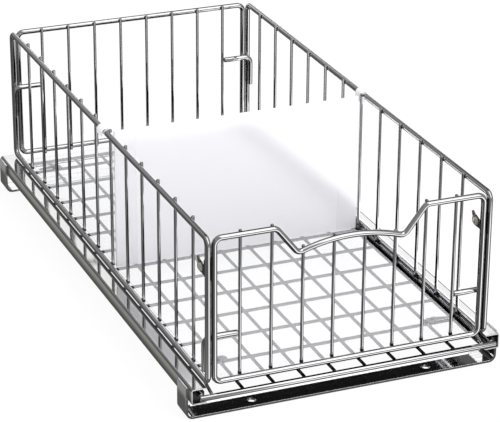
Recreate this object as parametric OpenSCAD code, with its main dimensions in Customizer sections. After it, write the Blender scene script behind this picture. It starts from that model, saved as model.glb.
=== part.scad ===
// Pull-out wire basket for a kitchen cabinet.
// Two channel rails on two flat straps are screwed to the shelf. The basket's runner wires slide in the
// rails on saddle glides at the front and on rollers at the rear. The basket is five welded wire panels,
// hooked together at the corners, with a loose floor liner and a clear divider that lifts out.
// Millimetres. X runs across, +Y into the cabinet, +Z up. The origin is on the shelf, under the middle.

/* [Wire] */
// Diameter of the frame wires
frame_d = 5; // [4:0.1:6]
// Diameter of the thin wires of the panels and the floor
thin_d = 2.8; // [2.4:0.1:3.4]
// Centre-line radius of a bent frame wire
bend_r = 6; // [5:0.5:10]

/* [Base frame] */
// Width over the turned-up ends of the straps
base_w = 280; // [250:1:400]
// Length of each rail
rail_len = 529.5; // [450:0.5:650]
// Depth of the rail's channel, over its flanges
rail_w = 13; // [11:0.5:15]
// Sheet thickness of the rails
rail_t = 1; // [0.8:0.1:1.4]
// Outer bend radius of the rail's folded edges
rail_fold_r = 1.8; // [1.5:0.1:3]
// Height of the rails' underside above the shelf
rail_lift = 16.8; // [12:0.1:30]
// Thickness of the straps
strap_t = 2; // [1.5:0.1:3]
// Depth of each strap, front to back
strap_w = 20; // [14:1:26]
// Outer bend radius of the straps' turned-up ends
strap_bend_r = 6.5; // [4:0.5:9]
// Distance that the strap ends stop short of the rails' top
strap_end_drop = 1.4; // [0.5:0.1:5]
// Centre of the front strap behind the rails' front ends
front_strap_inset = 17.5; // [14:0.5:60]
// Centre of the rear strap ahead of the rails' rear ends
rear_strap_inset = 12; // [10:0.5:60]

/* [Screw holes] */
// Diameter of the screw holes in the straps
screw_d = 6; // [4:0.5:8]
// Distance between the two holes of a strap
screw_span = 158; // [80:1:210]
// Depth of the chamfer at a hole's upper edge
screw_chamfer = 0.6; // [0.2:0.1:1]

/* [Basket panels] */
// Height of the panels over their frame wires
panel_h = 130.5; // [90:0.5:220]
// Gap from the strap ends' outer face in to the side panels' outer face
side_inset = 13.9; // [12.5:0.1:16]
// Gap between the rails and the side panels' bottom wires
panel_lift = 0.6; // [0.4:0.1:0.8]
// Front cross wire to the front panel, between centre lines
front_inset = 5.5; // [5:0.1:9]
// Rear ends of the rails to the back panel's centre line
rear_inset = 5.3; // [4:0.1:9]
// Pitch of the side panels' thin wires, and of the floor's cross wires
side_pitch = 40; // [25:1:60]
// Pitch of the end panels' thin wires, and of the floor's long wires
front_pitch = 27; // [18:0.5:40]
// Gap between an end panel's post and the side panel's post beside it
corner_gap = 1.2; // [1:0.1:2]
// Length of thin wire that stands above the top wire
wire_tip = 0.3; // [0.1:0.1:1]

/* [Handle in the front panel] */
// Width of the dip where it leaves the top wire
dip_top_w = 131; // [110:1:170]
// Width of the dip at its two lowest points
dip_low_w = 93; // [70:1:100]
// Depth of the lowest points below the top wire
dip_depth = 24.2; // [15:0.1:35]
// Rise of the grip's arch above the lowest points
arch_rise = 8.2; // [4:0.1:12]

/* [Corner hooks and clips] */
// Height of the front hooks above the bottom wire
front_hook_z = 38; // [36:1:60]
// Height of the back hooks above the bottom wire
back_hook_z = 71; // [40:1:80]
// Length of a hook's downward leg, from the bar's centre line
hook_leg = 29.5; // [20:0.5:32]
// Height of the corner clips above the bottom wire
clip_z = 94.5; // [70:0.5:110]
// Distance of a clip's thumb disc behind the front post
clip_reach = 20; // [17:0.5:25]
// Diameter of a clip's thumb disc
clip_d = 9; // [7:0.5:12]

/* [Slide] */
// Length of runner still held in the rails at full pull-out
hold_len = 132; // [90:1:200]
// Gap between the front cross wire and the rails when closed
closed_gap = 1.5; // [0.5:0.1:4]
// Clearance over the floor's cross wires inside the rails
run_clear = 0.45; // [0.3:0.05:0.7]
// Length of each saddle glide
glide_len = 22; // [14:1:40]
// Width of a roller's tread
roller_w = 3.1; // [2:0.1:4]
// Up and down play of a roller in its rail
roller_play = 0.4; // [0.2:0.1:0.6]
// Diameter of the turned-down axle ends that carry the rollers
journal_d = 3.6; // [3:0.1:4.2]
// Length of the rubber bumpers
bumper_len = 10.4; // [6:0.1:20]

/* [Liner and divider] */
// Thickness of the floor liner
liner_t = 1; // [0.5:0.1:2]
// Gap between the liner and the wires around it
liner_gap = 4.2; // [2:0.1:8]
// Thickness of the divider sheet
divider_t = 2; // [1.5:0.1:3]
// Height of the divider sheet
divider_h = 129; // [80:0.5:215]
// Side wire that holds the divider, counted from the front
divider_slot = 6; // [2:1:9]
// Wall of the divider's clips
clip_wall = 1.3; // [1:0.1:1.6]
// Width of the clips' flaps on the sheet
flap_w = 19.6; // [10:0.1:30]
// Width of the saddle that hangs on the top wire
saddle_w = 11; // [8:0.5:16]

/* [Hidden] */
$fn = 48;

// Clearances
weld_gap = 0.05;        // between two wires that a weld joins
journal_play = 0.05;    // radial, roller on its journal
end_play = 0.15;        // roller between its shoulder and the riveted head
saddle_play = 0.1;      // radial, runner wire in its glide
stop_play = 0.5;        // roller to the bumper when closed, and to its stop when pulled out
hang_play = 0.2;        // divider saddle round the top wire
slot_play = 0.8;        // divider clip on each side of its wire
lift_play = 0.3;        // divider clip beside the top wire and over the edge wire
clip_play = 0.35;       // divider clip inside the side panel's thin wires
sheet_lift = 0.5;       // divider over the liner
sheet_end_play = 0.1;   // divider sheet between its two clips
sheet_play = 0.05;      // divider sheet between the flaps of a clip
corner_play = 0.2;      // radial, on a corner that fits inside a rail's fold
stud_play = 0.2;        // liner studs, in the liner and beside the wires
eps = 0.01;
bend_swell = 0.02;      // on the diameter
bend_lap = 0.05;        // along the wire

frame_r = frame_d / 2;
thin_r = thin_d / 2;

// Lengthwise positions, from the rear ends of the rails to the front cross wire
rail_rear_y = (rail_len + closed_gap + frame_d) / 2;
rail_front_y = rail_rear_y - rail_len;
front_wire_y = rail_front_y - closed_gap - frame_r;
front_y = front_wire_y + front_inset;
back_y = rail_rear_y - rear_inset;
panel_mid_y = (front_y + back_y) / 2;

// Heights: the channel is as high inside as the runner with a cross wire on it needs, above and below
cavity_h = 2 * (frame_r + weld_gap + thin_d + run_clear);
rail_h = cavity_h + 2 * rail_t;
rail_top_z = rail_lift + rail_h;
runner_z = rail_lift + rail_h / 2;
cross_z = runner_z + frame_r + weld_gap + thin_r;
long_z = cross_z - thin_d - weld_gap;
edge_z = cross_z + thin_d + weld_gap;
low_z = rail_top_z + panel_lift + frame_r;
top_z = low_z + panel_h - frame_d;
liner_z = cross_z + thin_r + weld_gap;

// The roller and the axle's riveted head stand between the runner and the rail's web
head_t = 0.6;
head_gap = 0.4;
roller_r = (cavity_h - roller_play) / 2;
rail_out_x = base_w / 2 - strap_t;
web_x = rail_out_x - rail_t;
head_x = web_x - head_gap - head_t;
roller_x = head_x - end_play - roller_w;
shoulder_x = roller_x - end_play;
runner_x = shoulder_x - 2 * weld_gap - frame_r;
rail_open_x = rail_out_x - rail_w;

// Across the panels
side_x = base_w / 2 - side_inset - frame_r;
side_wire_x = side_x - frame_r - thin_r - weld_gap;
post_x = side_x - frame_d - corner_gap;
edge_x = side_x - sqrt(pow(frame_r + thin_r + weld_gap, 2) - pow(low_z - edge_z, 2));

// The side panels' thin wires start on the edge wires
side_wire_z = edge_z + thin_r + weld_gap;

// Rear axle, ahead of the bumpers, and the travel that hold_len leaves
bumper_y = rail_rear_y - rail_t - bumper_len;
axle_y = bumper_y - stop_play - roller_r;
travel = axle_y - rail_front_y - hold_len;
stop_y = axle_y - travel - roller_r - stop_play;

// Thin wires: as many as fit at their pitch, centred
end_margin = 30;
post_margin = 15;
side_count = floor((back_y - front_y - 2 * end_margin) / side_pitch) + 1;
side_first_y = panel_mid_y - (side_count - 1) * side_pitch / 2;
side_ys = [for (i = [0 : side_count - 1]) side_first_y + i * side_pitch];
half_count = floor((post_x - post_margin) / front_pitch + 0.5);
front_xs = [for (i = [1 : half_count], s = [-1, 1]) s * (i - 0.5) * front_pitch];
last_x = (half_count - 0.5) * front_pitch;

// Grip: straight slopes from the top wire, a bend at each low point and one arch between them
slope_a = atan2(dip_depth, (dip_top_w - dip_low_w) / 2);
slope_u = [-cos(slope_a), -sin(slope_a)];
slope_n = [-sin(slope_a), cos(slope_a)];
slope_top = [dip_top_w / 2, top_z];
slope_tan = bend_r * tan(slope_a / 2);
arch_r = (pow(dip_low_w / 2, 2) + pow(arch_rise, 2)) / (2 * arch_rise);
arch_c = [0, top_z - dip_depth + arch_rise - arch_r];
// The bend at a low point touches the slope and the arch: its centre lies bend_r from both
to_arch = slope_top + bend_r * slope_n - arch_c;
along = to_arch * slope_u;
slope_run = -along - sqrt(along * along - to_arch * to_arch + pow(arch_r + bend_r, 2));
valley_c = slope_top + bend_r * slope_n + slope_run * slope_u;
arch_a = atan2(valley_c.y - arch_c.y, valley_c.x - arch_c.x);

// Hooks
hook_set = 0.8;
hook_x = side_x + hook_set;
hook_start_x = last_x + thin_r + weld_gap;
front_hook_y = front_y + frame_d + weld_gap;
back_hook_y = back_y - frame_d - weld_gap;

// Divider
divider_y = side_ys[divider_slot - 1];
divider_z = liner_z + liner_t + sheet_lift;
web_out_x = side_wire_x - thin_r - clip_play;
leg_tip_x = side_x - frame_r - lift_play;
sheet_x = web_out_x - clip_wall - sheet_end_play;

steel = "gainsboro";
bright = "silver";
clear = [0.92, 0.92, 0.95, 0.6];

// Height of the front panel's top wire at a distance x from the middle
function grip_z(x) =
    abs(x) >= slope_top.x ? top_z :
    abs(x) <= valley_c.x ? arch_c.y + sqrt(arch_r * arch_r - x * x) :
    max(top_z - (slope_top.x - abs(x)) * tan(slope_a), valley_c.y - bend_r);

// Straight wires along an axis
module wire_x(x0, x1, y, z, d) translate([x0, y, z]) rotate([0, 90, 0]) cylinder(d = d, h = x1 - x0);
module wire_y(y0, y1, x, z, d) translate([x, y0, z]) rotate([-90, 0, 0]) cylinder(d = d, h = y1 - y0);
module wire_z(z0, z1, x, y, d) translate([x, y, z0]) cylinder(d = d, h = z1 - z0);

// Wire that lies in one plane: straights between two points, and arcs round a centre
module straight(p, q, d) {
    run = q - p;
    translate([p.x, p.y, 0]) rotate([0, 0, atan2(run.y, run.x)]) rotate([0, 90, 0])
        cylinder(d = d, h = norm(run));
}
module arc(c, r, a0, a1, d)
    translate([c.x, c.y, 0]) rotate([0, 0, a0]) rotate_extrude(angle = a1 - a0)
        translate([r, 0]) circle(d = d);
// A bend presses the wire a hair fuller than it was drawn, and so laps over the straights beside it
module bend(c, r, a0, a1, d) {
    lap = bend_lap / r * 180 / PI;
    arc(c, r, a0 - lap, a1 + lap, d + bend_swell);
}

// Planes for such wires: drawing X, Y stands for Y, Z at a given x, or for X, Z at a given y
module side_plane(x) translate([x, 0, 0]) rotate([90, 0, 90]) children();
module end_plane(y) translate([0, y, 0]) rotate([90, 0, 0]) children();
module left() mirror([1, 0, 0]) children();
module both() { children(); left() children(); }

// Closed rectangle of frame wire with bent corners
module wire_ring(p, q) {
    r = bend_r;
    for (y = [p.y, q.y]) straight([p.x + r, y], [q.x - r, y], frame_d);
    for (x = [p.x, q.x]) straight([x, p.y + r], [x, q.y - r], frame_d);
    bend([p.x + r, p.y + r], r, 180, 270, frame_d);
    bend([q.x - r, p.y + r], r, 270, 360, frame_d);
    bend([q.x - r, q.y - r], r, 0, 90, frame_d);
    bend([p.x + r, q.y - r], r, 90, 180, frame_d);
}

// Base frame ------------------------------------------------------------------------------------------

// Outline w by h with the two corners on the right rounded
module folded_2d(w, h, r) {
    square([w - r, h]);
    translate([0, r]) square([w, h - 2 * r]);
    for (y = [r, h - r]) translate([w - r, y]) circle(r = r);
}

// Channel rail, open towards the basket, closed by a folded tab at the rear
module right_rail() color(bright) difference() {
    translate([rail_open_x, rail_rear_y, rail_lift]) rotate([90, 0, 0]) linear_extrude(rail_len)
        folded_2d(rail_w, rail_h, rail_fold_r);
    translate([rail_open_x - eps, rail_rear_y - rail_t, rail_lift + rail_t]) rotate([90, 0, 0])
        linear_extrude(rail_len)
        folded_2d(rail_w - rail_t + eps, cavity_h, rail_fold_r - rail_t);
    translate([glide_x, glide_y, rail_lift - eps]) cylinder(r = peg_r + saddle_play, h = rail_t + 2 * eps);
}
module left_rail() left() right_rail();

// Flat strap under both rails, its ends turned up outside them
module strap(y) color(bright) {
    w = base_w / 2;
    r = strap_bend_r;
    difference() {
        translate([0, y + strap_w / 2, 0]) rotate([90, 0, 0]) linear_extrude(strap_w) {
            translate([-w + r, 0]) square([2 * (w - r), strap_t]);
            for (s = [0, 1]) mirror([s, 0]) {
                translate([w - strap_t, r]) square([strap_t, rail_top_z - strap_end_drop - r]);
                translate([w - r, r]) intersection() {
                    difference() {
                        circle(r = r);
                        circle(r = r - strap_t);
                    }
                    translate([0, -r]) square([r, r]);
                }
            }
        }
        for (x = [-screw_span / 2, screw_span / 2]) translate([x, y, 0]) {
            translate([0, 0, -eps]) cylinder(d = screw_d, h = strap_t + 2 * eps);
            translate([0, 0, strap_t - screw_chamfer])
                cylinder(d1 = screw_d, d2 = screw_d + 2 * screw_chamfer + eps, h = screw_chamfer + eps);
        }
    }
}
module front_strap() strap(rail_front_y + front_strap_inset);
module rear_strap() strap(rail_rear_y - rear_strap_inset);

// Saddle glide: a block in the rail's mouth that cradles the runner and is pegged into the lower flange
glide_front = 3.5;
glide_edge = 0.6;
glide_x = runner_x;
glide_y = rail_front_y + glide_front + glide_len / 2;
glide_top_gap = 0.7;
glide_top_z = cross_z - thin_r - glide_top_gap;
cavity_z = rail_lift + rail_t;
inner_fold_r = rail_fold_r - rail_t + corner_play;
peg_r = 2;
module right_glide() color("dimgray") {
    difference() {
        translate([rail_open_x + glide_edge, rail_front_y + glide_front + glide_len, cavity_z])
            rotate([90, 0, 0]) linear_extrude(glide_len)
            folded_2d(web_x - rail_open_x - glide_edge, glide_top_z - cavity_z, inner_fold_r);
        wire_y(rail_front_y, glide_y + glide_len, runner_x, runner_z, frame_d + 2 * saddle_play);
        translate([runner_x - frame_r - saddle_play, rail_front_y, runner_z])
            cube([frame_d + 2 * saddle_play, 2 * glide_len, frame_d]);
    }
    wire_z(rail_lift, cavity_z + eps, glide_x, glide_y, 2 * peg_r);
}
module left_glide() left() right_glide();

// Pull-out stop: a small steel angle on the rail's web, in the roller's way and clear of the runner
stop_foot = 10;
stop_h = 8;
module right_stop() color(bright) {
    translate([web_x - rail_t, stop_y - stop_foot, runner_z - stop_h / 2])
        cube([rail_t, stop_foot, stop_h]);
    translate([roller_x + end_play, stop_y - rail_t, runner_z - stop_h / 2])
        cube([web_x - roller_x - end_play, rail_t, stop_h]);
}
module left_stop() left() right_stop();

// Rubber bumper, pressed into the rail's closed rear end
bumper_gap = 0.1;
bumper_hole_r = bumper_len / 5;
module right_bumper() color("black") difference() {
    translate([rail_open_x + glide_edge, rail_rear_y - rail_t - bumper_gap, cavity_z + bumper_gap])
        rotate([90, 0, 0]) linear_extrude(bumper_len - bumper_gap)
        folded_2d(web_x - rail_open_x - glide_edge - bumper_gap, cavity_h - 2 * bumper_gap, inner_fold_r);
    // Round hole that lets the face give when a roller meets it
    wire_z(cavity_z, cavity_z + cavity_h, (rail_open_x + web_x) / 2, bumper_y + bumper_len / 2,
           2 * bumper_hole_r);
}
module left_bumper() left() right_bumper();

// Floor of the basket --------------------------------------------------------------------------------

wire_front_y = front_wire_y + frame_r + weld_gap;
wire_rear_y = axle_y - frame_r - weld_gap;
cross_overhang = 1.5;

module front_cross_wire() color(steel)
    wire_x(-shoulder_x, shoulder_x, front_wire_y, runner_z, frame_d);

module right_runner() color(steel) wire_y(wire_front_y, wire_rear_y, runner_x, runner_z, frame_d);
module left_runner() left() right_runner();

// Rear axle: a frame wire with turned-down, riveted ends
head_d = journal_d + 2;
module rear_axle() color(steel) {
    wire_x(-shoulder_x, shoulder_x, axle_y, runner_z, frame_d);
    both() {
        wire_x(shoulder_x, head_x, axle_y, runner_z, journal_d);
        wire_x(head_x, head_x + head_t, axle_y, runner_z, head_d);
    }
}

// Roller with a crowned tread and a raised hub
roller_crown = 0.4;
hub_r = 3.1;
hub_foot_r = 3.4;
module right_roller() color("white")
    translate([roller_x, axle_y, runner_z]) rotate([0, 90, 0]) rotate_extrude() polygon([
        [journal_d / 2 + journal_play, 0],
        [hub_r, 0],
        [hub_foot_r, roller_crown],
        [roller_r - 2 * roller_crown, roller_crown],
        [roller_r, 2 * roller_crown],
        [roller_r, roller_w - 2 * roller_crown],
        [roller_r - 2 * roller_crown, roller_w - roller_crown],
        [hub_foot_r, roller_w - roller_crown],
        [hub_r, roller_w],
        [journal_d / 2 + journal_play, roller_w]]);
module left_roller() left() right_roller();

module floor_cross_wires() color(steel)
    for (y = side_ys) wire_x(-runner_x - cross_overhang, runner_x + cross_overhang, y, cross_z, thin_d);

module floor_long_wires() color(steel)
    for (x = front_xs) wire_y(wire_front_y, wire_rear_y, x, long_z, thin_d);

// Edge wire on the cross wires that carries a side panel, bent down at both ends to the frame wires
edge_drop = 6;
edge_run = 22;
module right_edge_wire() color(steel) {
    a = atan2(edge_drop, edge_run);
    t = bend_r * tan(a / 2);
    knees = [wire_front_y + edge_run, wire_rear_y - edge_run];
    side_plane(edge_x) {
        straight([wire_front_y, edge_z - edge_drop], [knees[0], edge_z] - t * [cos(a), sin(a)], thin_d);
        bend([knees[0] + t, edge_z - bend_r], bend_r, 90, 90 + a, thin_d);
        straight([knees[0] + t, edge_z], [knees[1] - t, edge_z], thin_d);
        bend([knees[1] - t, edge_z - bend_r], bend_r, 90 - a, 90, thin_d);
        straight([knees[1], edge_z] + t * [cos(a), -sin(a)], [wire_rear_y, edge_z - edge_drop], thin_d);
    }
}
module left_edge_wire() left() right_edge_wire();

// Panels ----------------------------------------------------------------------------------------------

module right_side_frame() color(steel) side_plane(side_x) wire_ring([front_y, low_z], [back_y, top_z]);
module left_side_frame() left() right_side_frame();

module right_side_wires() color(steel)
    for (y = side_ys) wire_z(side_wire_z, top_z + frame_r + wire_tip, side_wire_x, y, thin_d);
module left_side_wires() left() right_side_wires();

module back_frame() color(steel) end_plane(back_y) wire_ring([-post_x, low_z], [post_x, top_z]);

module back_wires() color(steel)
    for (x = front_xs)
        wire_z(low_z - frame_r, top_z + frame_r + wire_tip, x, back_y - frame_r - thin_r - weld_gap, thin_d);

// Front panel, whose top wire dips to an arched grip
module front_frame() color(steel) end_plane(front_y) {
    r = bend_r;
    straight([-post_x + r, low_z], [post_x - r, low_z], frame_d);
    for (s = [0, 1]) mirror([s, 0, 0]) {
        bend([post_x - r, low_z + r], r, 270, 360, frame_d);
        straight([post_x, low_z + r], [post_x, top_z - r], frame_d);
        bend([post_x - r, top_z - r], r, 0, 90, frame_d);
        straight([slope_top.x + slope_tan, top_z], [post_x - r, top_z], frame_d);
        bend([slope_top.x + slope_tan, top_z - r], r, 90, 90 + slope_a, frame_d);
        straight(slope_top + slope_tan * slope_u, slope_top + slope_run * slope_u, frame_d);
        bend(valley_c, r, arch_a - 180, slope_a - 90, frame_d);
    }
    arc(arch_c, arch_r, arch_a, 180 - arch_a, frame_d);
}

module front_wires() color(steel)
    for (x = front_xs)
        wire_z(low_z - frame_r, grip_z(x) + frame_r, x, front_y + frame_r + thin_r + weld_gap, thin_d);

// Hook: a bar behind the end panel's post whose leg drops behind the side panel's post
module hook(y, z) end_plane(y) {
    straight([hook_start_x, z], [hook_x - bend_r, z], frame_d);
    bend([hook_x - bend_r, z - bend_r], bend_r, 0, 90, frame_d);
    straight([hook_x, z - hook_leg], [hook_x, z - bend_r], frame_d);
}
module front_hooks() color(steel) both() hook(front_hook_y, low_z + front_hook_z);
module back_hooks() color(steel) both() hook(back_hook_y, low_z + back_hook_z);

// Two circles joined by the straight lines that touch both
module link_2d(p, rp, q, rq) {
    run = q - p;
    a = atan2(run.y, run.x);
    b = acos((rp - rq) / norm(run));
    translate(p) circle(r = rp);
    translate(q) circle(r = rq);
    polygon([p + rp * [cos(a + b), sin(a + b)], q + rq * [cos(a + b), sin(a + b)],
             q + rq * [cos(a - b), sin(a - b)], p + rp * [cos(a - b), sin(a - b)]]);
}

// Corner clip: a spring band that snaps round the side panel's front post, its mouth turned outwards
// and to the front, and an arm with a thumb disc, domed on both faces, and a tapered tang
band_play = 0.1;
band_t = 0.6;
band_h = 20;
band_end_h = 9;
band_rise = 6;
mouth_a0 = 240;
mouth_a1 = 405;
arm_t = 1.4;
heel_r = 2;
heel_gap = 1;
disc_dome = 1.8;
tang_root_r = 3;
tang_tip_r = 1.1;
tang_reach = 7.4;
tang_a = 50;
module right_corner_clip() color(bright) {
    z = low_z + clip_z;
    disc = [front_y + clip_reach, z];
    disc_x = side_wire_x + thin_r;
    disc_r = clip_d / 2;
    band_r = frame_r + band_play;
    band_out_r = band_r + band_t;
    band_z = z + band_rise;
    // The arm's lower edge runs level from the band to the disc
    heel = [front_y + band_out_r + heel_gap, z - disc_r + heel_r];
    difference() {
        union() {
            intersection() {
                wire_z(band_z - band_h / 2, band_z + band_h / 2, side_x, front_y, 2 * band_out_r);
                // Tall beside the end panel's post, low at the mouth
                translate([side_x, front_y + frame_d, band_z]) rotate([90, 0, 0])
                    linear_extrude(2 * frame_d) polygon([
                        [-frame_d, -band_h / 2], [-frame_r, -band_h / 2], [frame_d, -band_end_h / 2],
                        [frame_d, band_end_h / 2], [-frame_r, band_h / 2], [-frame_d, band_h / 2]]);
            }
            translate([disc_x, 0, 0]) side_plane(0) linear_extrude(arm_t) {
                link_2d(heel, heel_r, disc, disc_r);
                link_2d(disc, tang_root_r, disc + tang_reach * [cos(tang_a), sin(tang_a)], tang_tip_r);
            }
            translate([disc_x, front_y + frame_r / 2, heel.y - heel_r])
                cube([arm_t, heel.x - front_y - frame_r / 2, 2 * heel_r]);
        }
        wire_z(band_z - band_h, band_z + band_h, side_x, front_y, 2 * band_r);
        translate([side_x, front_y, band_z - band_h]) linear_extrude(2 * band_h)
            polygon(concat([[0, 0]], [for (i = [0 : 4]) let (a = mouth_a0 + i * (mouth_a1 - mouth_a0) / 4)
                2 * frame_d * [cos(a), sin(a)]]));
    }
    dome_r = (pow(disc_r, 2) + pow(disc_dome, 2)) / (2 * disc_dome);
    for (s = [-1, 1])
        translate([disc_x + arm_t / 2 + s * (arm_t / 2 - eps), disc.x, disc.y]) rotate([0, s * 90, 0])
            intersection() {
                cylinder(d = clip_d, h = 2 * disc_dome);
                translate([0, 0, disc_dome - dome_r]) sphere(r = dome_r);
            }
}
module left_corner_clip() left() right_corner_clip();

// Liner and divider -----------------------------------------------------------------------------------

stud_pin_r = 0.8;
stud_offset = thin_r + stud_pin_r + stud_play;
stud_ys = [side_ys[0], side_ys[side_count - 1]];
module at_studs() for (x = [-last_x, last_x], y = stud_ys) translate([x, y, 0]) children();

module floor_liner() color(clear) difference() {
    x = edge_x - thin_r - liner_gap;
    y0 = front_y + frame_r + thin_d + liner_gap;
    y1 = back_y - frame_r - thin_d - liner_gap;
    translate([-x, y0, liner_z]) cube([2 * x, y1 - y0, liner_t]);
    at_studs() for (s = [-1, 1]) translate([s * stud_offset, s * stud_offset, liner_z - eps])
        cylinder(r = stud_pin_r + stud_play, h = liner_t + 2 * eps);
}

// Snap stud in a liner corner: a low round head with a finger rib that slopes down to the liner's edge,
// and two pins beside the crossing of the floor wires
stud_head_t = 1.2;
stud_foot_r = 4.6;
stud_top_r = 3.6;
rib_t = 1.6;
rib_len = 18;
rib_top_r = 1.6;
rib_end_r = 0.4;
rib_inset = 2.2;
module liner_studs() color(clear) {
    head_z = liner_z + liner_t + weld_gap;
    at_studs() {
        translate([0, 0, head_z]) cylinder(r1 = stud_foot_r, r2 = stud_top_r, h = stud_head_t);
        for (s = [-1, 1]) translate([s * stud_offset, s * stud_offset, cross_z - thin_r])
            cylinder(r = stud_pin_r, h = head_z - cross_z + thin_r + eps);
    }
    both() for (y = stud_ys) translate([last_x, 0, head_z]) end_plane(y + rib_t / 2) linear_extrude(rib_t)
        link_2d([rib_inset, rib_top_r], rib_top_r, [rib_len, rib_end_r], rib_end_r);
}

module divider_sheet() color(clear)
    translate([-sheet_x, divider_y - divider_t / 2, divider_z])
        cube([2 * sheet_x, divider_t, divider_h]);

// Divider clip: flaps hold the sheet, legs straddle the side wire and a saddle hangs on the top wire
flap_t = 1.2;
leg_wall = 1.8;
saddle_drop = 3.5;
saddle_root = 16;
saddle_lap = 0.15;
module right_divider_clip() color(clear) {
    slot = thin_r + slot_play;
    web_in_x = web_out_x - clip_wall;
    flap_y = divider_t / 2 + sheet_play;
    leg_z = edge_z + thin_r + lift_play;
    translate([0, divider_y, divider_z]) linear_extrude(divider_h) {
        translate([web_in_x, -slot - leg_wall]) square([clip_wall, 2 * (slot + leg_wall)]);
        for (s = [0, 1]) mirror([0, s]) translate([web_in_x - flap_w, flap_y])
            square([flap_w + eps, flap_t]);
    }
    translate([0, divider_y, leg_z]) linear_extrude(divider_z + divider_h - leg_z)
        for (s = [0, 1]) mirror([0, s]) translate([web_in_x, slot])
            square([leg_tip_x - web_in_x, leg_wall]);
    saddle_y = divider_y + slot - saddle_lap;
    in_r = frame_r + hang_play;
    out_r = in_r + clip_wall;
    translate([side_x, saddle_y + saddle_w, top_z]) rotate([90, 0, 0]) linear_extrude(saddle_w) {
        intersection() {
            difference() {
                circle(r = out_r);
                circle(r = in_r);
            }
            translate([-out_r, 0]) square([2 * out_r, out_r]);
        }
        translate([-out_r, -saddle_root]) square([clip_wall, saddle_root + eps]);
        translate([in_r, -saddle_drop]) square([clip_wall, saddle_drop + eps]);
    }
}
module left_divider_clip() left() right_divider_clip();

left_rail();
right_rail();
front_strap();
rear_strap();
left_glide();
right_glide();
left_stop();
right_stop();
left_bumper();
right_bumper();
front_cross_wire();
left_runner();
right_runner();
rear_axle();
left_roller();
right_roller();
floor_cross_wires();
floor_long_wires();
left_edge_wire();
right_edge_wire();
left_side_frame();
left_side_wires();
right_side_frame();
right_side_wires();
front_frame();
front_wires();
back_frame();
back_wires();
front_hooks();
back_hooks();
left_corner_clip();
right_corner_clip();
floor_liner();
liner_studs();
divider_sheet();
left_divider_clip();
right_divider_clip();
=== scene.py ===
from math import cos, radians, sin

import bpy
import numpy as np
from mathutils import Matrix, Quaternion, Vector


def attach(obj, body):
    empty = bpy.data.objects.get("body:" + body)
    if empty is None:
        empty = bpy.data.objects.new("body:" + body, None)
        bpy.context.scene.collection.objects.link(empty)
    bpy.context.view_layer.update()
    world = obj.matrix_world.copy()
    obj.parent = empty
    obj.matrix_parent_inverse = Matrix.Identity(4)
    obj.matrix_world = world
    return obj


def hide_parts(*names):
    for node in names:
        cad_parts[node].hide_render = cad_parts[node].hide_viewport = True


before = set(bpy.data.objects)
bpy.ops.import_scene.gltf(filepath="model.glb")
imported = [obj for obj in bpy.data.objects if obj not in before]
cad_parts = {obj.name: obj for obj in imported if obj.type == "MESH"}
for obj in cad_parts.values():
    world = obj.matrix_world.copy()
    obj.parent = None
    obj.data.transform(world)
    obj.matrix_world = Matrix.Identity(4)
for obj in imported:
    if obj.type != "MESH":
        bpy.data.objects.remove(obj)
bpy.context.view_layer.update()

# Camera: a long lens, in front of the basket, a little to its left and above it. It looks at a point near
# the middle of the basket's floor.
MM = 0.001
TARGET = Vector((37.83, 45.32, 33.5)) * MM
DISTANCE = 2132.98 * MM
AZIMUTH, ELEVATION, ROLL = radians(-22.39), radians(23.57), radians(0.35)
FOCAL_LENGTH, SENSOR_WIDTH, FARTHEST = 164.17, 36, 50

back = Vector((sin(AZIMUTH) * cos(ELEVATION), -cos(AZIMUTH) * cos(ELEVATION), sin(ELEVATION)))
lens = bpy.data.cameras.new("studio_camera")
lens.lens, lens.sensor_width, lens.clip_end = FOCAL_LENGTH, SENSOR_WIDTH, FARTHEST
camera = bpy.data.objects.new("studio_camera", lens)
camera.location = TARGET + back * DISTANCE
camera.rotation_mode = "QUATERNION"
camera.rotation_quaternion = (-back).to_track_quat("-Z", "Y") @ Quaternion((0, 0, 1), ROLL)
bpy.context.scene.collection.objects.link(camera)
bpy.context.scene.camera = camera
bpy.context.scene.view_settings.view_transform = "Standard"


# Studio: a tent, white to the eye and as dim as a room in the chrome, where pale and dark panels on it show
# the wires' shape. Panels are given by azimuth from the back, towards the right, by elevation, half width
# and softness in degrees, and by how bright they are.
def add(tree, kind, links=None, **values):
    """Adds one node. links maps an input to a node's output or to a value, values set its options."""
    node = tree.nodes.new(kind)
    for key, value in values.items():
        setattr(node, key, value)
    for key, value in (links or {}).items():
        if isinstance(value, bpy.types.NodeSocket):
            tree.links.new(value, node.inputs[key])
        else:
            node.inputs[key].default_value = value
    return node


def facing(turn, lift):
    """The unit vector at an azimuth from the back, towards the right, and an elevation, in degrees."""
    turn, lift = radians(turn), radians(lift)
    return sin(turn) * cos(lift), cos(turn) * cos(lift), sin(lift)


def between(tree, value, low, high, soft):
    """1 where value lies between low and high, falling smoothly to 0 over soft on both sides."""
    above, below = [
        add(tree, "ShaderNodeMapRange", {"Value": value, "From Min": start, "From Max": end},
            interpolation_type="SMOOTHSTEP").outputs["Result"]
        for start, end in [(low - soft, low + soft), (high + soft, high - soft)]]
    return add(tree, "ShaderNodeMath", {0: above, 1: below}, operation="MULTIPLY").outputs[0]


ROOM = 0.34
PANELS = [
    (275, -35, 72, 8, 0.11),
    (62, -24, 26, 10, 0.2),
    (110, 78, 22, 6, 1.1),
    (30, 52, 23, 3, 0.05),
    (22, 22, 6, 2, 0.05),
    (0, -90, 46, 4, 0.03),
]
STRIP_TURN, STRIP_WIDTH, STRIP_BOTTOM, STRIP_BRIGHT = 150, 0.24, -0.7, 1.9
BAND_LOW, BAND_HIGH, BAND_BRIGHT = -0.32, 0.26, 0.3
ABOVE_ALL = 2

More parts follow.
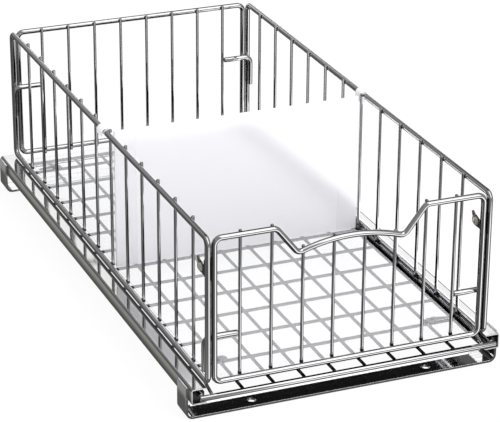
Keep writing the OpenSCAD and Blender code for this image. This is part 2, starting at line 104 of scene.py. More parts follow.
world = bpy.data.worlds.new("studio")
bpy.context.scene.world = world
world.use_nodes = True
sky = world.node_tree
sky.nodes.clear()
direction = add(sky, "ShaderNodeTexCoord").outputs["Generated"]
height = add(sky, "ShaderNodeSeparateXYZ", {0: direction}).outputs["Z"]
painted = []
for turn, lift, width, soft, bright in PANELS:
    near = add(sky, "ShaderNodeVectorMath", {0: direction, 1: facing(turn, lift)}, operation="DOT_PRODUCT")
    inside = add(sky, "ShaderNodeMapRange", {
        "Value": near.outputs["Value"],
        "From Min": cos(radians(width + soft)), "From Max": cos(radians(width - soft)),
    }, interpolation_type="SMOOTHSTEP")
    painted.append((inside.outputs["Result"], bright))

# One tall pale strip in front, to the right, crossed by a greyer band at eye level
aside, ahead = [
    add(sky, "ShaderNodeVectorMath", {0: direction, 1: facing(turn, 0)}, operation="DOT_PRODUCT")
    for turn in (STRIP_TURN + 90, STRIP_TURN)]
strip = between(sky, aside.outputs["Value"], -STRIP_WIDTH, STRIP_WIDTH, 0.04)
for value, low, soft in [(ahead.outputs["Value"], 0.2, 0.1), (height, STRIP_BOTTOM, 0.04)]:
    strip = add(sky, "ShaderNodeMath", {0: strip, 1: between(sky, value, low, ABOVE_ALL, soft)},
                operation="MULTIPLY").outputs[0]
band = add(sky, "ShaderNodeMath", {0: strip, 1: between(sky, height, BAND_LOW, BAND_HIGH, 0.03)},
           operation="MULTIPLY").outputs[0]
painted += [(strip, STRIP_BRIGHT), (band, BAND_BRIGHT)]

level = ROOM
for inside, bright in painted:
    level = add(sky, "ShaderNodeMix", {"Factor": inside, "A": level, "B": bright},
                data_type="FLOAT").outputs["Result"]
ray = add(sky, "ShaderNodeLightPath").outputs
seen = add(sky, "ShaderNodeMix", {"Factor": ray["Is Glossy Ray"], "A": 1.0, "B": level}, data_type="FLOAT")
light = add(sky, "ShaderNodeBackground", {"Color": (1, 1, 1, 1), "Strength": seen.outputs["Result"]})
add(sky, "ShaderNodeOutputWorld", {"Surface": light.outputs["Background"]})

# Lamps: three large soft discs, aimed at the basket, that the chrome doesn't see. Places and sizes are in
# metres, powers in watts.
for name, place, size, power in [
    ("lamp_above", (0.2, 0.2, 2.2), 2.2, 10),
    ("lamp_front", (0.9, -2.0, 0.9), 1.6, 34),
    ("lamp_right", (1.9, 0.2, 1.2), 1.4, 6),
]:
    lamp = bpy.data.lights.new(name, "AREA")
    lamp.shape, lamp.size, lamp.energy = "DISK", size, power
    stand = bpy.data.objects.new(name, lamp)
    stand.location = place
    stand.rotation_mode = "QUATERNION"
    stand.rotation_quaternion = (-Vector(place)).to_track_quat("-Z", "Y")
    stand.visible_glossy = False
    bpy.context.scene.collection.objects.link(stand)

# Shutters in the front lamp, focused on the divider's front face: they leave its lower left in half shade,
# darkest along a slanted edge that is crisp at the bottom and soft at the top. A ray from the lamp meets
# the face at a place across and up, and slant is that place's distance beyond the edge.
FACE_Y = -19.65 * MM
SLANT_ACROSS, SLANT_UP, SLANT_AT, SLANT_BLUR = 0.703, 0.711, -120.3 * MM, 0.12

bpy.data.lights["lamp_front"].use_nodes = True
tree = bpy.data.lights["lamp_front"].node_tree
ray = add(tree, "ShaderNodeNewGeometry").outputs
start = add(tree, "ShaderNodeSeparateXYZ", {0: ray["Position"]}).outputs
course = add(tree, "ShaderNodeSeparateXYZ", {0: ray["Incoming"]}).outputs
reach = add(tree, "ShaderNodeMath", {0: FACE_Y, 1: start["Y"]}, operation="SUBTRACT").outputs[0]
reach = add(tree, "ShaderNodeMath", {0: reach, 1: course["Y"]}, operation="DIVIDE").outputs[0]
across, up = [
    add(tree, "ShaderNodeMath", {0: reach, 1: course[axis], 2: start[axis]},
        operation="MULTIPLY_ADD").outputs[0]
    for axis in ("X", "Z")]
slant = SLANT_AT
for value, share in [(up, SLANT_UP), (across, SLANT_ACROSS)]:
    slant = add(tree, "ShaderNodeMath", {0: value, 1: share, 2: slant}, operation="MULTIPLY_ADD").outputs[0]
blur = add(tree, "ShaderNodeMath", {0: up, 1: SLANT_BLUR}, operation="MULTIPLY").outputs[0]
blurred = add(tree, "ShaderNodeMath", {0: slant, 1: blur}, operation="DIVIDE").outputs[0]
shade = 1.0
for value, low, high, off, on in [
    (blurred, -1, 1, 1, 0),  # below the slanted edge
    (slant, -35 * MM, -4 * MM, 0.7, 1),  # deeper towards it
    (up, 28.5 * MM, 30 * MM, 0, 1),  # above the basket's floor
    (up, 140 * MM, 170 * MM, 1, 0),  # gone at the sheet's top
    (across, -122 * MM, -118 * MM, 0, 1),  # inside the left panel
]:
    ramp = add(tree, "ShaderNodeMapRange", {
        "Value": value, "From Min": low, "From Max": high, "To Min": off, "To Max": on,
    }, interpolation_type="SMOOTHSTEP").outputs["Result"]
    shade = add(tree, "ShaderNodeMath", {0: shade, 1: ramp}, operation="MULTIPLY").outputs[0]
open_share = add(tree, "ShaderNodeMath", {0: 1.0, 1: shade}, operation="SUBTRACT")
tree.links.new(open_share.outputs[0], tree.nodes["Emission"].inputs["Strength"])


# Floor: wide matt white paper. Seen straight or through the clear pieces it is almost as bright as the tent,
# and in the chrome it shows as the room.
def linear(code):
    """The linear colour of an sRGB hex code."""
    s = np.array([int(code[i:i + 2], 16) for i in (1, 3, 5)]) / 255
    return (*np.where(s < 0.04045, s / 12.92, ((s + 0.055) / 1.055) ** 2.4).tolist(), 1)


def material(name, color, roughness, metallic=0.0, **sockets):
    """A material with one Principled shader, and its node tree and shader for patterns to join."""
    made = bpy.data.materials.new(name)
    made.use_nodes = True
    shader = made.node_tree.nodes["Principled BSDF"]
    shader.inputs["Base Color"].default_value = linear(color)
    shader.inputs["Roughness"].default_value = roughness
    shader.inputs["Metallic"].default_value = metallic
    for key, value in sockets.items():
        shader.inputs[key.replace("_", " ")].default_value = value
    return made, made.node_tree, shader


def sheet_of(name, start, end, rise):
    """A flat card, in metres: one edge runs from start to end, and the opposite one lies rise away."""
    start, end, rise = Vector(start), Vector(end), Vector(rise)
    mesh = bpy.data.meshes.new(name)
    mesh.from_pydata([start, end, end + rise, start + rise], [], [(0, 1, 2, 3)])
    card = bpy.data.objects.new(name, mesh)
    bpy.context.scene.collection.objects.link(card)
    return card


PAPER_HALF, PAPER_BRIGHT, PAPER_SHARE = 6, 1.02, 0.88

floor = sheet_of("studio_floor", (-PAPER_HALF, -PAPER_HALF, 0), (PAPER_HALF, -PAPER_HALF, 0),
                 (0, 2 * PAPER_HALF, 0))
paper, tree, shader = material("matt_white_paper", "#f2f2f2", 0.9)
ray = add(tree, "ShaderNodeLightPath").outputs
white = add(tree, "ShaderNodeEmission", {"Color": (1, 1, 1, 1), "Strength": PAPER_BRIGHT})
direct = add(tree, "ShaderNodeMath", {0: ray["Is Camera Ray"], 1: ray["Is Transmission Ray"]},
             operation="MAXIMUM")
share = add(tree, "ShaderNodeMath", {0: direct.outputs[0], 1: PAPER_SHARE}, operation="MULTIPLY")
mixed = add(tree, "ShaderNodeMixShader", {0: share.outputs[0], 1: shader.outputs[0], 2: white.outputs[0]})

# Beside the left rail and ahead of the front strap, the chrome sees the paper in the frame's own shade,
# deepest close to the steel
BESIDE_X, AHEAD_Y = (-175 * MM, -125 * MM), (-288 * MM, -250 * MM)
DEEP_X, DEEP_BRIGHT = (-154.5 * MM, -152.5 * MM), (0.42, 0.14)

place = add(tree, "ShaderNodeSeparateXYZ", {0: add(tree, "ShaderNodeTexCoord").outputs["Object"]}).outputs
beside = add(tree, "ShaderNodeMath", {0: between(tree, place["X"], *BESIDE_X, 5 * MM),
                                      1: between(tree, place["Y"], *AHEAD_Y, 3 * MM)}, operation="MAXIMUM")
deep = add(tree, "ShaderNodeMapRange", {"Value": place["X"], "From Min": DEEP_X[0], "From Max": DEEP_X[1],
                                        "To Min": DEEP_BRIGHT[0], "To Max": DEEP_BRIGHT[1]})
grey = add(tree, "ShaderNodeEmission", {"Color": linear("#fffef8"), "Strength": deep.outputs["Result"]})
clear = add(tree, "ShaderNodeBsdfTransparent")
mirror = add(tree, "ShaderNodeMixShader", {0: beside.outputs[0], 1: clear.outputs[0], 2: grey.outputs[0]})
mixed = add(tree, "ShaderNodeMixShader", {0: ray["Is Glossy Ray"], 1: mixed.outputs[0], 2: mirror.outputs[0]})
tree.links.new(mixed.outputs[0], tree.nodes["Material Output"].inputs["Surface"])
floor.data.materials.append(paper)

# Cards that only the chrome and the divider's gloss see. White ones stand far behind the basket, low behind
# the front strap and beside the right panel; the low and side ones paint highlights into the nearby chrome.
# Black flags lie over, under and beside the liner, below the front panel and between the front corner posts:
# they paint shade into the reflections where the basket's own shade falls. Places are in millimetres.
for name, start, end, rise, bright in [
    ("card_left", (-30, 650, 147), (225, 650, 525), (0, 0, 70), 1.7),
    ("card_right", (285, 650, 152), (645, 650, 519), (0, 0, 70), 1.9),
    ("card_rear", (-20, 660, 150), (300, 660, 150), (0, 0, 50), 1.7),
    # These two glowing cards paint highlights into the strap and the wires
    ("card_low", (-128, -232, 2), (125, -232, 2), (0, 0, 2.6), 2.2),
    ("card_side", (131, -255, 31), (131, 255, 31), (0, 0, 19), 1.9),
    # These black flags paint shade into the reflections
    ("flag_over", (-112, -240, 32), (112, -240, 32), (0, 475, 0), 0),
    ("flag_under", (-115, -250, 28.97), (115, -250, 28.97), (0, 500, 0), 0.01),
    ("flag_edge", (118, -240, 31.5), (118, 235, 31.5), (0, 0, 2.7), 0),
    ("flag_sill", (-118, -267.2, 28.5), (112, -267.2, 28.5), (0, 11.7, 0), 0),
    ("flag_left", (-120.7, -261.9, 36), (-120.7, -257.6, 36), (0, 0, 120), 0.01),
    ("flag_right", (120.7, -261.9, 36), (120.7, -257.6, 36), (0, 0, 120), 0.01),
]:
    card = sheet_of(name, Vector(start) * MM, Vector(end) * MM, Vector(rise) * MM)
    finish, tree, shader = material(name, "#000000", 1.0)
    glow = add(tree, "ShaderNodeEmission", {"Color": (1, 1, 1, 1), "Strength": bright})
    tree.links.new(glow.outputs[0], tree.nodes["Material Output"].inputs["Surface"])
    card.data.materials.append(finish)
    card.visible_camera = card.visible_diffuse = card.visible_transmission = card.visible_shadow = False


# Rails and straps, cold-rolled mild steel strip 1 and 2 mm thick, folded, punched and then chromed.
# Their cut edges are tumbled round, and rolling leaves long faint streaks under the plating.
def dress(finish, *nodes):
    """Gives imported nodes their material."""
    for node in nodes:
        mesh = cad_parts[node].data
        mesh.materials.clear()
        mesh.materials.append(finish)


def both(name):
    """The names of a left and a right node."""
    return "left_" + name, "right_" + name


def grain_of(tree, lengths, detail=3.0):
    """Noise whose grain has its own length along x, y and z, in millimetres."""
    place = add(tree, "ShaderNodeTexCoord").outputs["Object"]
    place = add(tree, "ShaderNodeMapping", {"Vector": place, "Scale": [1 / (s * MM) for s in lengths]})
    return add(tree, "ShaderNodeTexNoise", {"Vector": place.outputs[0], "Scale": 1.0,
                                            "Detail": detail}).outputs["Fac"]


RAIL_GRAIN, RAIL_EDGE = (6, 260, 2.5), 0.5
STRAP_GRAIN, STRAP_EDGE = (220, 3, 8), 1

rolled, tree, shader = material("bright_chrome_on_rolled_strip", "#c6c6c6", 0.08, 1.0)
grain = grain_of(tree, RAIL_GRAIN)
haze = add(tree, "ShaderNodeMapRange", {"Value": grain, "From Min": 0.3, "From Max": 0.7,
                                        "To Min": 0.03, "To Max": 0.11})
tree.links.new(haze.outputs["Result"], shader.inputs["Roughness"])
tint = add(tree, "ShaderNodeMix", {"Factor": grain, "A": linear("#9c9c98"), "B": linear("#cacacc")},
           data_type="RGBA")
tree.links.new(tint.outputs["Result"], shader.inputs["Base Color"])
rim = add(tree, "ShaderNodeBevel", {"Radius": RAIL_EDGE * MM}, samples=6)
ripple = add(tree, "ShaderNodeBump", {"Height": grain, "Strength": 0.1, "Distance": 0.3 * MM,
                                      "Normal": rim.outputs[0]})
tree.links.new(ripple.outputs["Normal"], shader.inputs["Normal"])
dress(rolled, *both("rail"), *both("stop"))

cross_rolled, tree, shader = material("bright_chrome_on_strap_strip", "#c6c6c8", 0.09, 1.0)
grain = grain_of(tree, STRAP_GRAIN)
haze = add(tree, "ShaderNodeMapRange", {"Value": grain, "From Min": 0.3, "From Max": 0.7,
                                        "To Min": 0.05, "To Max": 0.15})
tree.links.new(haze.outputs["Result"], shader.inputs["Roughness"])
rim = add(tree, "ShaderNodeBevel", {"Radius": STRAP_EDGE * MM}, samples=6)
ripple = add(tree, "ShaderNodeBump", {"Height": grain, "Strength": 0.08, "Distance": 0.3 * MM,
                                      "Normal": rim.outputs[0]})
tree.links.new(ripple.outputs["Normal"], shader.inputs["Normal"])
dress(cross_rolled, "front_strap", "rear_strap")

# Corner clips, hardened spring strip, barrel plated with nickel: greyer, warmer and more satin than chrome,
# with a grain drawn coarse enough to show. The crowned thumb disc has a painted highlight in its middle and
# painted shade round it, and the rest of the clip keeps that dark colour. The finish turns duller from the
# band round the post towards the heel.
DISC_Y, DISC_Z, HIGHLIGHT_R, DARK_R, CROWN_R, CROWN = -242.2, 128, 2.9, 4.0, 4.2, 1.3
CLIP_BAND_Y, HEEL_Y, CLIP_EDGE, CLIP_GRAIN = -255, -250, 0.4, 0.625

sprung, tree, shader = material("satin_nickel_on_spring_strip", "#9b988e", 0.14, 1.0)
place = add(tree, "ShaderNodeTexCoord").outputs["Object"]
along = add(tree, "ShaderNodeSeparateXYZ", {0: place}).outputs["Y"]
plated = add(tree, "ShaderNodeMapRange", {"Value": along, "From Min": CLIP_BAND_Y * MM,
                                          "From Max": HEEL_Y * MM, "To Min": 1.0, "To Max": 0.7})
tree.links.new(plated.outputs["Result"], shader.inputs["Metallic"])
reach = add(tree, "ShaderNodeMapping", {"Vector": place, "Location": (0, -DISC_Y * MM, -DISC_Z * MM),
                                        "Scale": (0, 1, 1)})
reach = add(tree, "ShaderNodeVectorMath", {0: reach.outputs[0]}, operation="LENGTH")
squared = add(tree, "ShaderNodeMath", {0: reach.outputs["Value"], 1: 2.0}, operation="POWER").outputs[0]
# Painted highlight in the disc's middle, painted shade from its rim outwards
dark = add(tree, "ShaderNodeMapRange", {"Value": squared, "From Min": (HIGHLIGHT_R * MM) ** 2,
                                        "From Max": (DARK_R * MM) ** 2})
tint = add(tree, "ShaderNodeMix", {"Factor": dark.outputs["Result"], "A": linear("#d8d5ca"),
                                   "B": linear("#5c5a54")}, data_type="RGBA")
tree.links.new(tint.outputs["Result"], shader.inputs["Base Color"])
crown = add(tree, "ShaderNodeMapRange", {"Value": squared, "From Max": (CROWN_R * MM) ** 2,
                                         "To Min": 1.0, "To Max": 0.0})
rim = add(tree, "ShaderNodeBevel", {"Radius": CLIP_EDGE * MM}, samples=6)
dome = add(tree, "ShaderNodeBump", {"Height": crown.outputs["Result"], "Strength": 1.0,
                                    "Distance": CROWN * MM, "Normal": rim.outputs[0]})
ripple = add(tree, "ShaderNodeBump", {"Height": grain_of(tree, [CLIP_GRAIN] * 3), "Strength": 0.15,
                                      "Distance": 0.1 * MM, "Normal": dome.outputs["Normal"]})
tree.links.new(ripple.outputs["Normal"], shader.inputs["Normal"])
dress(sprung, *both("corner_clip"))


# Glides, moulded acetal, and the bumpers in the rails' rear ends, moulded rubber. Both are matt from the
# spark-eroded mould, whose fine grain is drawn coarse enough to show.
def grained(name, color, roughness, size, strength, depth, **sockets):
    """A plastic with a matt grain: noise of a size, as a bump of a depth, both in millimetres."""
    finish, tree, shader = material(name, color, roughness, **sockets)
    ripple = add(tree, "ShaderNodeBump", {"Height": grain_of(tree, [size] * 3), "Strength": strength,
                                          "Distance": depth * MM})
    tree.links.new(ripple.outputs["Normal"], shader.inputs["Normal"])
    return finish


acetal = grained("moulded_black_acetal", "#1b1b1c", 0.35, size=0.4, strength=0.3, depth=0.05)
dress(acetal, *both("glide"))
rubber = grained("moulded_black_rubber", "#18181a", 0.7, size=0.667, strength=0.4, depth=0.08)
dress(rubber, *both("bumper"))


# Front cross wire and the two runners that slide in the rails: 5 mm cold-drawn mild steel wire, cut,
# tumbled round at the ends, welded and then plated with nickel and chrome. Drawing leaves slow, shallow
# waves in the bright plating.
def unit(v):
    """The vectors divided by their lengths."""
    return v / np.linalg.norm(v, axis=-1, keepdims=True)


def bent(corners, radius, closed=False, steps=8):
    """Centre line of a bent wire: straight from corner to corner, with an arc of the radius at each bend.
    An arc's point is centre - radius * (cos t * middle + sin t * side), for t from one tangent point to
    the other, where middle halves the corner and side is square to it."""
    corners = np.asarray(corners, float)
    a, b = unit(np.roll(corners, 1, 0) - corners), unit(np.roll(corners, -1, 0) - corners)
    half = np.arccos(np.clip((a * b).sum(1), -1, 1)) / 2
    middle, side = unit(a + b), unit(b - a)
    centre = corners + middle * (radius / np.sin(half))[:, None]
    t = (np.pi / 2 - half)[:, None, None] * np.linspace(1, -1, steps + 1)[None, :, None]
    arcs = centre[:, None] - radius * (np.cos(t) * middle[:, None] + np.sin(t) * side[:, None])
    if closed:
        return arcs.reshape(-1, 3)
    return np.concatenate([corners[:1], arcs[1:-1].reshape(-1, 3), corners[-1:]])


def tube(line, radii, across, around, closed=False):
    """Round skin along a line that lies in the plane square to across. A ring's point is
    centre + radius * (cos t * across + sin t * side), with side square to the line. Returns points and
    four-cornered faces, with flat ends unless the line is closed."""
    step = unit(np.roll(line, -1, 0) - line)
    along = unit(step + np.roll(step, 1, 0)) if closed else unit(
        np.concatenate([step[:1], step[:-2] + step[1:-1], step[-2:-1]]))
    across = np.asarray(across, float)
    side = np.cross(along, across)
    t = np.linspace(0, 2 * np.pi, around, endpoint=False)[None, :, None]
    out = np.cos(t) * across + np.sin(t) * side[:, None]
    points = line[:, None] + np.asarray(radii).reshape(-1, 1, 1) * out
    rings = len(line)
    i = np.arange(rings if closed else rings - 1)[:, None] * around
    j = np.arange(around)[None]
    on, up = (j + 1) % around, (i + around) % (rings * around)
    faces = [np.stack([i + j, i + on, up + on, up + j], -1).reshape(-1, 4)]
    if not closed:
        k = np.arange(around // 2 - 1)
        end = np.stack([k, k + 1, around - 2 - k, around - 1 - k], -1)
        faces += [end[:, ::-1], end + (rings - 1) * around]
    return points.reshape(-1, 3), np.concatenate(faces)


def wire(line, thick, across, around=16, rim=0.5, closed=False):
    """Skin of a drawn wire. At a cut end the rim is a quarter circle: at t, it lies rim * (1 - cos t) in
    from the end with the radius smaller by rim * (1 - sin t)."""
    line = np.asarray(line, float)
    if closed:
        return tube(line, np.full(len(line), thick / 2), across, around, True)
    t = np.radians([0, 30, 60, 90])
    inset, loss = rim * (1 - np.cos(t))[:, None], rim * (1 - np.sin(t))
    ends = line[0] + inset * unit(line[1] - line[0]), line[-1] + (inset * unit(line[-2] - line[-1]))[::-1]
    radii = thick / 2 - np.concatenate([loss, np.zeros(len(line) - 2), loss[::-1]])
    return tube(np.concatenate([ends[0], line[1:-1], ends[1]]), radii, across, around)


def mirrored(skin):
    """The skin on the other side of the middle plane, its faces turned back outwards."""
    return skin[0] * (-1, 1, 1), skin[1][:, ::-1]


def piece(name, skins, finish, body, slot, *nodes):
    """One object from its skins, in millimetres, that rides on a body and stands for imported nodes."""
    starts = np.cumsum([0] + [len(points) for points, _ in skins[:-1]])
    points = np.concatenate([points for points, _ in skins]) * MM
    faces = np.concatenate([faces + start for (_, faces), start in zip(skins, starts)])
    mesh = bpy.data.meshes.new(name)
    mesh.from_pydata(points.tolist(), [], faces.tolist())
    mesh.shade_smooth()
    mesh.update()
    mesh.materials.append(finish)
    made = bpy.data.objects.new(name, mesh)
    bpy.context.scene.collection.objects.link(made)
    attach(made, body)
    if nodes:
        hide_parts(*nodes)
    return made


def pair(name, skin, finish, body, slot, node):
    """A right piece from its skin, and the left piece that mirrors it."""
    piece("left_" + name, [mirrored(skin)], finish, body, slot, "left_" + node)
    piece("right_" + name, [skin], finish, body, slot, "right_" + node)


X, Y, Z = np.eye(3)
FRAME_D, THIN_D = 5, 2.8
FRAME_SIDES, THIN_SIDES = 24, 16
CROSS_BAR_X, CROSS_BAR_Y = 132.6, -265.5
RUNNER_X, RUNNER_Z, CUT_FRONT_Y, CUT_REAR_Y = 130, 23.6, -262.95, 247.95
DRAWN_WAVE = 11.11

drawn, tree, shader = material("bright_chrome_on_drawn_wire", "#cccccd", 0.03, 1.0)
waves = grain_of(tree, [DRAWN_WAVE] * 3, 2.0)
haze = add(tree, "ShaderNodeMapRange", {"Value": waves, "From Min": 0.35, "From Max": 0.7,
                                        "To Min": 0.02, "To Max": 0.06})
tree.links.new(haze.outputs["Result"], shader.inputs["Roughness"])
ripple = add(tree, "ShaderNodeBump", {"Height": waves, "Strength": 0.012, "Distance": 1 * MM})
tree.links.new(ripple.outputs["Normal"], shader.inputs["Normal"])

cross_bar = wire([(-CROSS_BAR_X, CROSS_BAR_Y, RUNNER_Z), (CROSS_BAR_X, CROSS_BAR_Y, RUNNER_Z)], FRAME_D, Y,
                 FRAME_SIDES, rim=0.9)
piece("front_cross_bar", [cross_bar], drawn, "basket", "chromed_wire", "front_cross_wire")
runner = wire([(RUNNER_X, CUT_FRONT_Y, RUNNER_Z), (RUNNER_X, CUT_REAR_Y, RUNNER_Z)], FRAME_D, X, FRAME_SIDES)
pair("runner_bar", runner, drawn, "basket", "chromed_wire", "runner")
dress(drawn, "rear_axle")

# Rollers, natural nylon, moulded and then turned, with a fine matt grain. They run on the axle's
# turned-down ends.
nylon = grained("moulded_natural_nylon", "#eeece2", 0.4, size=1.25, strength=0.2, depth=0.05)
dress(nylon, *both("roller"))


# Floor of the basket: twelve cross wires and eight long wires, 2.8 mm, projection welded where they
# cross. Their chrome is duller, and its colour is darkened as painted shade for the wires under the liner.
def repeated(skin, places):
    """The same skin set down at many places."""
    points, faces = skin
    places = np.asarray(places, float).reshape(-1, 1, 3)
    shift = np.arange(len(places))[:, None, None] * len(points)
    return (points[None] + places).reshape(-1, 3), (faces[None] + shift).reshape(-1, 4)


SIDE_YS = -218.65 + 40 * np.arange(12)
END_XS = 27 * (np.arange(8) - 3.5)
CROSS_X, CROSS_Z, LONG_Z, FLOOR_SIDES, DULL_WAVE = 131.5, 27.55, 24.7, 12, 7.14

# The dark colour is painted shade
dull_and_shaded, tree, shader = material("dull_chrome_with_painted_shade", "#505053", 0.16, 1.0)
waves = grain_of(tree, [DULL_WAVE] * 3, 2.0)
haze = add(tree, "ShaderNodeMapRange", {"Value": waves, "From Min": 0.35, "From Max": 0.7,
                                        "To Min": 0.12, "To Max": 0.24})
tree.links.new(haze.outputs["Result"], shader.inputs["Roughness"])

cross = wire([(-CROSS_X, 0, CROSS_Z), (CROSS_X, 0, CROSS_Z)], THIN_D, Y, FLOOR_SIDES)
piece("floor_cross_rods", [repeated(cross, np.outer(SIDE_YS, Y))], dull_and_shaded, "basket", "chromed_wire",
      "floor_cross_wires")
long = wire([(0, CUT_FRONT_Y, LONG_Z), (0, CUT_REAR_Y, LONG_Z)], THIN_D, X, FLOOR_SIDES)
piece("floor_long_rods", [repeated(long, np.outer(END_XS, X))], dull_and_shaded, "basket", "chromed_wire",
      "floor_long_wires")

# Edge wires, which carry the side panels: 2.8 mm drawn wire, bent down at both ends and welded to the
# frame wires there.
BEND_R = 6
EDGE_X, EDGE_Z, EDGE_END_Z, EDGE_BEND = 121.152, 30.4, 24.4, 22
edge = wire(bent([(EDGE_X, CUT_FRONT_Y, EDGE_END_Z), (EDGE_X, CUT_FRONT_Y + EDGE_BEND, EDGE_Z),
                  (EDGE_X, CUT_REAR_Y - EDGE_BEND, EDGE_Z), (EDGE_X, CUT_REAR_Y, EDGE_END_Z)],
                 BEND_R, steps=4), THIN_D, X, THIN_SIDES)
pair("edge_rod", edge, drawn, "basket", "chromed_wire", "edge_wire")

# Side panels: a closed ring of 5 mm wire, bent and butt welded, and twelve 2.8 mm wires inside it that
# stand on the edge wires and end just above the top wire.
LOW_Z, TOP_Z, FRONT_Y, BACK_Y, SIDE_X = 33.5, 159, -260, 262.7, 123.35
SIDE_WIRE_X, STANDING_Z, TIP_Z = 119.65, 31.85, 161.8
ring = wire(bent([(SIDE_X, FRONT_Y, LOW_Z), (SIDE_X, BACK_Y, LOW_Z), (SIDE_X, BACK_Y, TOP_Z),
                  (SIDE_X, FRONT_Y, TOP_Z)], BEND_R, True), FRAME_D, X, FRAME_SIDES, closed=True)
upright = wire([(SIDE_WIRE_X, 0, STANDING_Z), (SIDE_WIRE_X, 0, TIP_Z)], THIN_D, X, THIN_SIDES, rim=0.6)
pair("side_ring", ring, drawn, "basket", "chromed_wire", "side_frame")
pair("side_rods", repeated(upright, np.outer(SIDE_YS, Y)), drawn, "basket", "chromed_wire", "side_wires")

# Front panel: a closed ring of 5 mm wire whose top dips to an arched grip, and eight 2.8 mm wires
# behind it, cut to the height of the top wire.
POST_X, SLOPE_X, DIP, LOW_X, RISE = 117.9, 65.5, 24.2, 46.5, 8.2
FRONT_WIRE_Y, OVERHANG = -256.05, 2.5


def arc(centre, radius, start, end, steps=8):
    """Points (centre + radius * (cos t, sin t)) in the plane x, z, for t from start to end in degrees."""
    t = np.radians(np.linspace(start, end, steps + 1))
    return np.stack([centre[0] + radius * np.cos(t), 0 * t, centre[1] + radius * np.sin(t)], -1)


slope = np.degrees(np.arctan2(DIP, SLOPE_X - LOW_X))
down = np.array([-cos(radians(slope)), -sin(radians(slope))])
off = np.array([-sin(radians(slope)), cos(radians(slope))])
arch_r = (LOW_X ** 2 + RISE ** 2) / (2 * RISE)
arch_z = TOP_Z - DIP + RISE - arch_r
# The bend at a low point touches both the slope and the arch
start = np.array([SLOPE_X, TOP_Z]) + BEND_R * off
reach = start - (0, arch_z)
run = -reach @ down - np.sqrt((reach @ down) ** 2 - reach @ reach + (arch_r + BEND_R) ** 2)
valley = start + run * down
turn = np.degrees(np.arctan2(valley[1] - arch_z, valley[0]))
corner = SLOPE_X + BEND_R * np.tan(radians(slope / 2))
half = np.concatenate([
    arc((0, arch_z), arch_r, 90, turn)[1:],
    arc(valley, BEND_R, turn - 180, slope - 90)[1:],
    arc((corner, TOP_Z - BEND_R), BEND_R, 90 + slope, 90),
    arc((POST_X - BEND_R, TOP_Z - BEND_R), BEND_R, 90, 0),
    arc((POST_X - BEND_R, LOW_Z + BEND_R), BEND_R, 0, -90),
])
outline = np.concatenate([half, half[::-1] * (-1, 1, 1), arc((0, arch_z), arch_r, 90, 90, 0)])
front = wire(outline + FRONT_Y * Y, FRAME_D, Y, FRAME_SIDES, closed=True)
piece("front_ring", [front], drawn, "basket", "chromed_wire", "front_frame")
grip = np.where(abs(END_XS) > SLOPE_X, TOP_Z, arch_z + np.sqrt(arch_r ** 2 - END_XS ** 2))
rods = [wire([(x, FRONT_WIRE_Y, LOW_Z - OVERHANG), (x, FRONT_WIRE_Y, z + OVERHANG)], THIN_D, Y, THIN_SIDES,
             rim=0.6) for x, z in zip(END_XS, grip)]
piece("front_rods", rods, drawn, "basket", "chromed_wire", "front_wires")

# Back panel: a plain closed ring of 5 mm wire, bent and butt welded, and eight 2.8 mm wires inside it
# that end just above the top wire.
BACK_WIRE_Y = 258.75
back_loop = wire(bent([(-POST_X, BACK_Y, LOW_Z), (POST_X, BACK_Y, LOW_Z), (POST_X, BACK_Y, TOP_Z),
                       (-POST_X, BACK_Y, TOP_Z)], BEND_R, True), FRAME_D, Y, FRAME_SIDES, closed=True)
piece("back_ring", [back_loop], drawn, "basket", "chromed_wire", "back_frame")
rod = wire([(0, BACK_WIRE_Y, LOW_Z - OVERHANG), (0, BACK_WIRE_Y, TIP_Z)], THIN_D, Y, THIN_SIDES, rim=0.6)
piece("back_rods", [repeated(rod, np.outer(END_XS, X))], drawn, "basket", "chromed_wire", "back_wires")

# Hooks: 5 mm wire bars welded behind the end panels' posts, whose bent legs drop behind the side
# panels' posts and lock the corners.
HOOK_IN_X, HOOK_OUT_X, HOOK_LEG, HOOK_SIDES = 95.95, 124.4, 29.5, 20
hook = bent([(HOOK_IN_X, 0, 0), (HOOK_OUT_X, 0, 0), (HOOK_OUT_X, 0, -HOOK_LEG)], BEND_R)
for name, y, z, node in [
    ("front_hook_bars", -254.95, 71.5, "front_hooks"),
    ("back_hook_bars", 257.65, 104.5, "back_hooks"),
]:
    bar = wire(hook + (0, y, z), FRAME_D, Y, HOOK_SIDES, rim=0.8)
    piece(name, [bar, mirrored(bar)], drawn, "basket", "chromed_wire", node)

# Welds: where two wires cross, the press squeezes a small upset out between them. Chrome hardly covers
# it, so it stays dark and scaly.
SCALE_GRAIN = 1.11

upset, tree, shader = material("dark_weld_upset", "#1c1c1e", 0.35, 0.6)
scale = grain_of(tree, [SCALE_GRAIN] * 3, 2.0)
ripple = add(tree, "ShaderNodeBump", {"Height": scale, "Strength": 0.5, "Distance": 0.1 * MM})
tree.links.new(ripple.outputs["Normal"], shader.inputs["Normal"])


def bead(size):
    """A squashed ball: rings at heights sin t and radii cos t, stretched to the three sizes."""
    t = np.radians([-70, -35, 0, 35, 70])
    points, faces = tube(np.outer(np.sin(t), Z), np.cos(t), X, 8)
    return points * np.asarray(size, float) / 2, faces


def grid(xs, ys, z):
    """Every place where one of xs meets one of ys, at height z."""
    x, y = np.meshgrid(xs, ys)
    return np.stack([x.ravel(), y.ravel(), np.full(x.size, float(z))], -1)


FLOOR_WELD_Z, EDGE_WELD_Z = 26.12, 28.97
SIDE_WELD_X, FRONT_WELD_Y, BACK_WELD_Y = 121.08, -257.47, 260.17
side_bead, end_bead = bead((1.2, 3.6, 4.6)), bead((3.6, 1.2, 4.6))
sides = (-SIDE_WELD_X, SIDE_WELD_X)
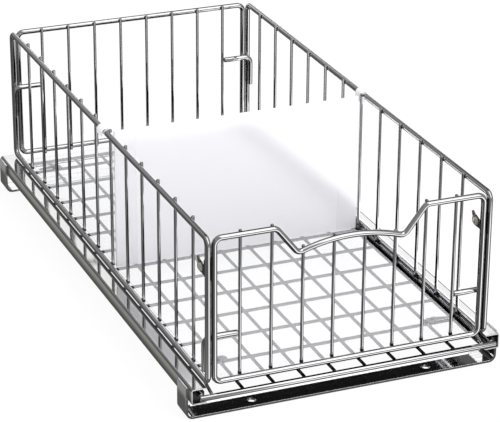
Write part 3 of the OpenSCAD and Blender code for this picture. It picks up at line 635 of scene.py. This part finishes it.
# Round the foot of each upright wire the upset is a collar
COLLAR_ZS, COLLAR_RS, END_COLLAR_RISE, SIDE_COLLAR_RISE = [0, 1.2, 2.2], [1.75, 1.65, 1.42], 1.6, 0.75
collar = tube(np.outer(COLLAR_ZS, Z), COLLAR_RS, X, 10)
welds = [
    repeated(bead((3.6, 3.6, 1.4)), grid(END_XS, SIDE_YS, FLOOR_WELD_Z)),
    repeated(bead((3.8, 3.4, 1.4)), grid((-EDGE_X, EDGE_X), SIDE_YS, EDGE_WELD_Z)),
    repeated(bead((3.6, 4.4, 1.2)), grid((-RUNNER_X, RUNNER_X), SIDE_YS, FLOOR_WELD_Z)),
    repeated(side_bead, grid(sides, SIDE_YS, TOP_Z)),
    repeated(side_bead, grid(sides, SIDE_YS, LOW_Z)),
    repeated(end_bead, grid(END_XS, (FRONT_WELD_Y, BACK_WELD_Y), LOW_Z)),
    repeated(end_bead, grid(END_XS, (BACK_WELD_Y,), TOP_Z)),
    repeated(end_bead, np.stack([END_XS, np.full(len(END_XS), FRONT_WELD_Y), grip], -1)),
    repeated(collar, grid(END_XS, (FRONT_WIRE_Y, BACK_WIRE_Y), LOW_Z + END_COLLAR_RISE)),
    repeated(collar, grid((-SIDE_WIRE_X, SIDE_WIRE_X), SIDE_YS, STANDING_Z + SIDE_COLLAR_RISE)),
]
piece("weld_upsets", welds, upset, "basket", "chromed_wire")

# Liner: a loose mat cut from 1 mm frosted polypropylene sheet, so fine-grained that the wires under it
# show as soft grey lines, with a moulded stud in each corner.
liner_sheet = grained("frosted_polypropylene_liner", "#f6f6f9", 0.42, size=1.25, strength=0.12, depth=0.1,
                      Alpha=0.25)
dress(liner_sheet, "floor_liner")
stud = grained("smoky_polypropylene_stud", "#b2b2b5", 0.3, size=1.25, strength=0.12, depth=0.1, Alpha=0.7)
dress(stud, "liner_studs")

# Divider: 2 mm frosted polypropylene sheet, satin from the roll, held in a moulded clip at each side. The
# clips are almost clear, and only the thick saddles that hang on the top wires look milky.
SHEET_GRAIN, SADDLE_X, SADDLE_Z, DIVIDER_CLIP_EDGE = 3.75, (118.5, 119.5), (152, 154), 0.4

divider_sheet, tree, shader = material("frosted_polypropylene_sheet", "#f1f0f4", 0.36, IOR=1.49)
grain = grain_of(tree, [SHEET_GRAIN] * 3)
haze = add(tree, "ShaderNodeMapRange", {"Value": grain, "From Min": 0.3, "From Max": 0.7,
                                        "To Min": 0.3, "To Max": 0.42})
tree.links.new(haze.outputs["Result"], shader.inputs["Roughness"])
dress(divider_sheet, "divider_sheet")

clip_plastic, tree, shader = material("moulded_natural_polypropylene", "#f8f8fb", 0.3, IOR=1.49)
place = add(tree, "ShaderNodeSeparateXYZ", {0: add(tree, "ShaderNodeTexCoord").outputs["Object"]}).outputs
out = add(tree, "ShaderNodeMath", {0: place["X"]}, operation="ABSOLUTE")
beyond = [
    add(tree, "ShaderNodeMapRange", {"Value": value, "From Min": low * MM, "From Max": high * MM}).outputs[0]
    for value, (low, high) in [(out.outputs[0], SADDLE_X), (place["Z"], SADDLE_Z)]]
saddle = add(tree, "ShaderNodeMath", {0: beyond[0], 1: beyond[1]}, operation="MULTIPLY")
cloud = add(tree, "ShaderNodeMapRange", {"Value": saddle.outputs[0], "To Min": 0.04, "To Max": 0.9})
tree.links.new(cloud.outputs["Result"], shader.inputs["Alpha"])
rim = add(tree, "ShaderNodeBevel", {"Radius": DIVIDER_CLIP_EDGE * MM}, samples=6)
tree.links.new(rim.outputs[0], shader.inputs["Normal"])
dress(clip_plastic, *both("divider_clip"))
